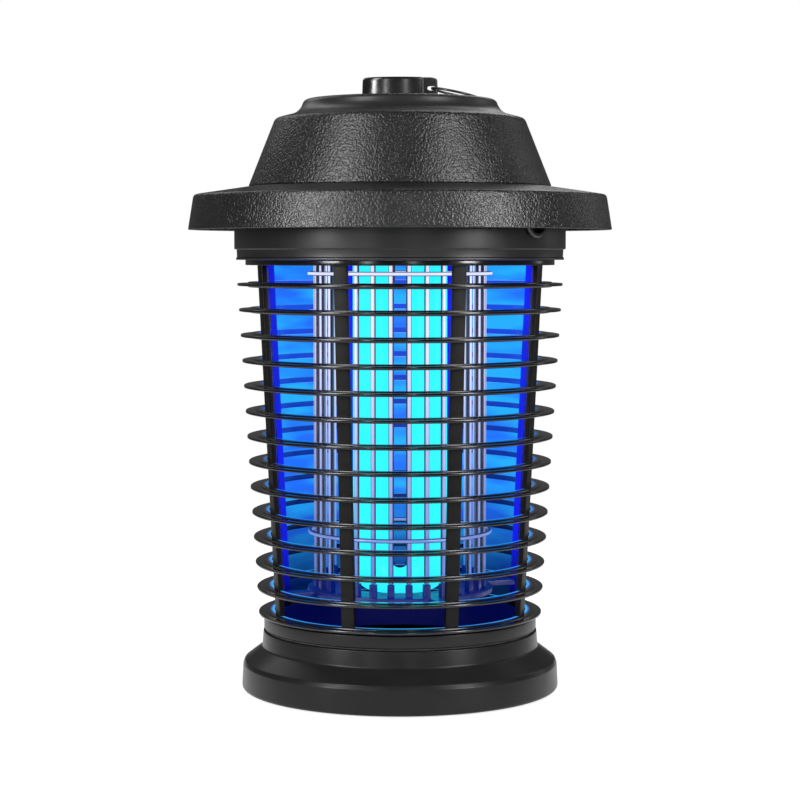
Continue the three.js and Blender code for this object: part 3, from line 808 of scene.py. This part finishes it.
def make_ring(index):
    """A louvre ring: a thin outer flange that steps up to a thicker root at the bars."""
    height, outer = ring_place(index)
    root = bar_radius(height)
    inner = root - 2.4
    step = root + 2.2
    outline = soften([
        (inner, -1.4, 0.3),
        (step, -1.4, 0.35),
        (step + 0.2, -0.75, 0.15),
        (outer, -0.7, 0.5),
        (outer, 0.7, 0.5),
        (step + 0.2, 0.75, 0.15),
        (step, 1.4, 0.4),
        (inner, 1.4, 0.4),
    ])
    bm = bmesh.new()
    add_turned(bm, [(r, z + height) for r, z in outline], 128)
    add_piece(f"louvre_ring_{index:02d}", bm, "guard_black", nodes=[f"guard_ring_{index:02d}"])


def make_bar(index):
    (top_radius, top), (bottom_radius, bottom) = BAR_TOP, BAR_BOTTOM
    outline = [
        (bottom_radius - BAR_THICKNESS, bottom),
        (bottom_radius, bottom),
        (top_radius, top),
        (top_radius - BAR_THICKNESS, top),
    ]
    bm = bmesh.new()
    place = turn_z(FIRST_BAR_ANGLE + 360 / BAR_COUNT * (index - 1))
    add_prism(bm, outline, BAR_WIDTH / 2, place, 0.5)
    add_piece(f"upright_bar_{index}", bm, "guard_black", nodes=[f"guard_bar_{index}"], finish=bar_finish)


def make_pane(index):
    """A lit rear pane, in strips that stop short of each louvre ring."""
    low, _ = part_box(f"rear_pane_{index}")
    edges = [CAGE_HEAD[1] - 0.3]
    for ring in range(1, RING_COUNT + 1):
        height, _ = ring_place(ring)
        edges += [height + 1.5, height - 1.5]
    start = FIRST_BAR_ANGLE + 360 / BAR_COUNT * (index - 1)
    bm = bmesh.new()
    for top, bottom in zip(edges[0::2], edges[1::2]):
        if bottom < low[2] / MM:
            bottom = low[2] / MM
        section = [
            (bar_radius(bottom) - 1.9, bottom),
            (bar_radius(bottom) - 1.0, bottom),
            (bar_radius(top) - 1.0, top),
            (bar_radius(top) - 1.9, top),
        ]
        add_sweep(bm, section, start + 2.6, start + 360 / BAR_COUNT - 2.6, steps=16)
    add_piece(f"lit_pane_{index}", bm, "blue_pane", nodes=[f"rear_pane_{index}"])


def add_thread_lugs(bm, inner, outer, height):
    section = [(inner, height - 1), (outer, height - 1), (outer, height + 1), (inner, height + 1)]
    for angle in THREAD_ANGLES:
        add_sweep(bm, section, angle - THREAD_SPAN / 2, angle + THREAD_SPAN / 2, THREAD_RISE)


def make_cage_ends():
    top = bmesh.new()
    low, high = CAGE_HEAD
    add_turned(top, soften([(74.2, low), (80.3, low, 0.4), (80.3, high, 0.3), (74.2, high)]), 128)
    add_piece("cage_head_ring", top, "guard_black", nodes=["cage_top_ring"])
    band = bmesh.new()
    outline = soften([
        (SPIGOT_RADIUS - 2, 21.5, 0.3),
        (SPIGOT_RADIUS, 21.5, 0.4),
        (SPIGOT_RADIUS, 32.3),
        (71.3, 32.3, 0.4),
        (71.3, 38.4, 0.5),
        (SPIGOT_RADIUS - 2, 38.4, 0.5),
    ])
    add_turned(band, outline, 144)
    add_thread_lugs(band, SPIGOT_RADIUS - 1, SPIGOT_RADIUS + 2, THREAD_HEIGHT)
    add_piece("cage_foot_band", band, "satin_black", nodes=["cage_bottom_band"], finish=band_finish)


# ---------------------------------------------------------------- collection tray


def make_tray():
    """The twist-off cup: a straight neck, a flare and an upright band over the feet."""
    outline = soften([
        (0, 2.5),
        (74, 2.5, 0.4),
        (74.5, 0.6, 0.3),
        (83, 0.6, 2.2),
        (82.3, 13.6, 0.35),
        (81.4, 15.7, 0.5),
        (72.2, 22.6, 0.7),
        (71.6, NECK_TOP, 0.5),
        (NECK_BORE, NECK_TOP, 0.3),
        (NECK_BORE, 22, 1.0),
        (78.4, 14.8, 1.5),
        (79.8, 7.5, 0.8),
        (77.8, 5.5, 1.0),
        (0, 5.5),
    ])
    bm = bmesh.new()
    add_turned(bm, outline, 160)
    add_thread_lugs(bm, NECK_BORE - 2.2, NECK_BORE + 1, THREAD_HEIGHT + 2.4)
    add_piece("tray_cup_body", bm, "satin_black", "tray", ["collection_tray"], finish=tray_finish)


# ---------------------------------------------------------------- make the pieces

make_roof()
make_hanger()
make_housing()
make_switch()
make_gland()
make_lamp()
make_electrode("grid_electrode_a", 0)
make_electrode("grid_electrode_b", 1)
make_insulators()
make_cage_ends()
for number in range(1, RING_COUNT + 1):
    make_ring(number)
for number in range(1, BAR_COUNT + 1):
    make_bar(number)
for number in range(1, 4):
    make_pane(number)
make_tray()

for entry in frame["record"]["subparts"]:
    node = frame["nodes"][entry["node"]]
    for holder in node.material_slots:
        holder.material = finishes[entry["material_slot"]].material

# ---------------------------------------------------------------- studio

scene = bpy.context.scene
scene.view_settings.view_transform = "Standard"


def make_floor():
    """A round pale floor that glows a little, so that its edge fades into the background."""
    bm = bmesh.new()
    bmesh.ops.create_circle(bm, cap_ends=True, segments=96, radius=FLOOR_RADIUS)
    floor = mesh_object("studio_floor", bm)
    made = plastic("floor_white", (0.55, 0.55, 0.55), (0.6, 0.6, 0.6), (0.6, 0.7), 20.0, 0.01, specular=0.1)
    made.glow((1, 1, 1), 0.72)
    floor.data.materials.append(made.material)


def make_world():
    """Near-white to the camera, and a dimmer even light on the object."""
    world = bpy.data.worlds.new("studio")
    scene.world = world
    world.use_nodes = True
    tree = world.node_tree
    seen = tree.nodes["Background"]
    seen.inputs["Color"].default_value = (1, 1, 1, 1)
    lit = tree.nodes.new("ShaderNodeBackground")
    lit.inputs["Color"].default_value = (1, 1, 1, 1)
    lit.inputs["Strength"].default_value = 0.1
    rays = tree.nodes.new("ShaderNodeLightPath")
    mix = tree.nodes.new("ShaderNodeMixShader")
    tree.links.new(rays.outputs["Is Camera Ray"], mix.inputs["Fac"])
    tree.links.new(lit.outputs["Background"], mix.inputs[1])
    tree.links.new(seen.outputs["Background"], mix.inputs[2])
    tree.links.new(mix.outputs["Shader"], tree.nodes["World Output"].inputs["Surface"])


def make_softbox(name, azimuth, elevation, distance, size, watts):
    """An area light that looks at the lantern from an azimuth counted from the front."""
    target = Vector((0, 0, 0.2))
    a = radians(azimuth)
    e = radians(elevation)
    away = Vector((sin(a) * cos(e), -cos(a) * cos(e), sin(e)))
    data = bpy.data.lights.new(name, "AREA")
    data.shape = "RECTANGLE"
    data.size, data.size_y = size
    data.energy = watts
    light = bpy.data.objects.new(name, data)
    light.location = target + away * distance
    light.rotation_euler = away.to_track_quat("Z", "Y").to_euler()
    light.visible_camera = False
    bpy.context.collection.objects.link(light)


def make_camera():
    """At the photograph's distance and height, looking a little down."""
    data = bpy.data.cameras.new("photo_camera")
    data.lens = 99.16
    data.sensor_width = 36
    camera = bpy.data.objects.new("photo_camera", data)
    camera.location = (0, -1.149, 0.2268)
    camera.rotation_euler = (radians(90 - 3.78), 0, 0)
    bpy.context.collection.objects.link(camera)
    scene.camera = camera


make_floor()
make_world()
make_softbox("softbox_left", -50, 34, 1.5, (0.36, 1.0), 13)
make_softbox("softbox_right", 50, 34, 1.5, (0.36, 1.0), 12)
make_softbox("low_left", -50, 9, 1.5, (0.28, 0.4), 10)
make_softbox("low_right", 50, 9, 1.5, (0.28, 0.4), 10)
make_softbox("strip_left", -23, 12, 1.5, (0.1, 0.8), 3.0)
make_softbox("strip_right", 9, 12, 1.5, (0.1, 0.8), 1.8)
make_softbox("rim_right", 122, 20, 1.6, (0.25, 1.2), 1.5)
make_softbox("rear_fill_left", -140, 40, 1.6, (0.5, 1.0), 3)
make_softbox("rear_fill_right", 165, 40, 1.6, (0.5, 1.0), 3)
make_camera()
